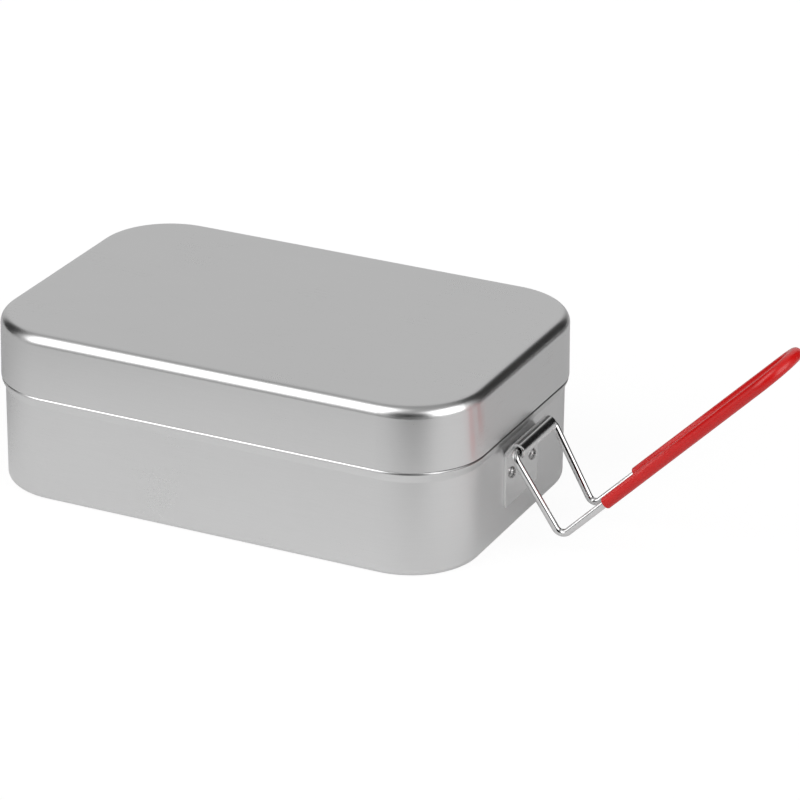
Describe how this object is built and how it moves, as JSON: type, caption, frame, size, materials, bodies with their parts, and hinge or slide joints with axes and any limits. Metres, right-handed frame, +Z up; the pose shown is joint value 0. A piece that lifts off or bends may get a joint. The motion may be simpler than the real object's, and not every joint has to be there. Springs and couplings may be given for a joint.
{
  "type": "lidded rectangular metal lunch box with folding wire handle",
  "caption": "Rectangular drawn aluminium lunch box: rounded pan with a stop bead, lift-off lid, and a sleeved wire handle that folds out or over the lid.",
  "frame": {"origin": "middle of the pan's flat underside, on the surface that the tin stands on", "axes": "+X along the tin's length towards the end that carries the handle, +Y across the tin, +Z up towards the lid"},
  "size_m": [0.3139, 0.1344, 0.0926],
  "materials": {
    "drawn_aluminium": "satin, finely drawn",
    "bracket_steel": "plated, satin",
    "rivet_aluminium": "bright, hammered",
    "bright_wire": "bright drawn",
    "red_vinyl": "satin"
  },
  "bodies": {
    "tin": {"base_pan": "drawn_aluminium", "hinge_bracket": "bracket_steel", "rivet_front": "rivet_aluminium", "rivet_back": "rivet_aluminium"},
    "cover": {"lid": "drawn_aluminium"},
    "handle": {"handle_wire": "bright_wire", "grip_sleeve": "red_vinyl"}
  },
  "joints": [
    {"name": "handle_fold", "type": "hinge", "parent": "tin", "child": "handle", "pos_m": [0.1062, 0, 0.0372], "axis": [0, -1, 0], "range_deg": [-37, 134.7]},
    {"name": "lid_lift", "type": "slide", "parent": "tin", "child": "cover", "axis": [0, 0, 1], "range_m": [0, 0.04]}
  ]
}
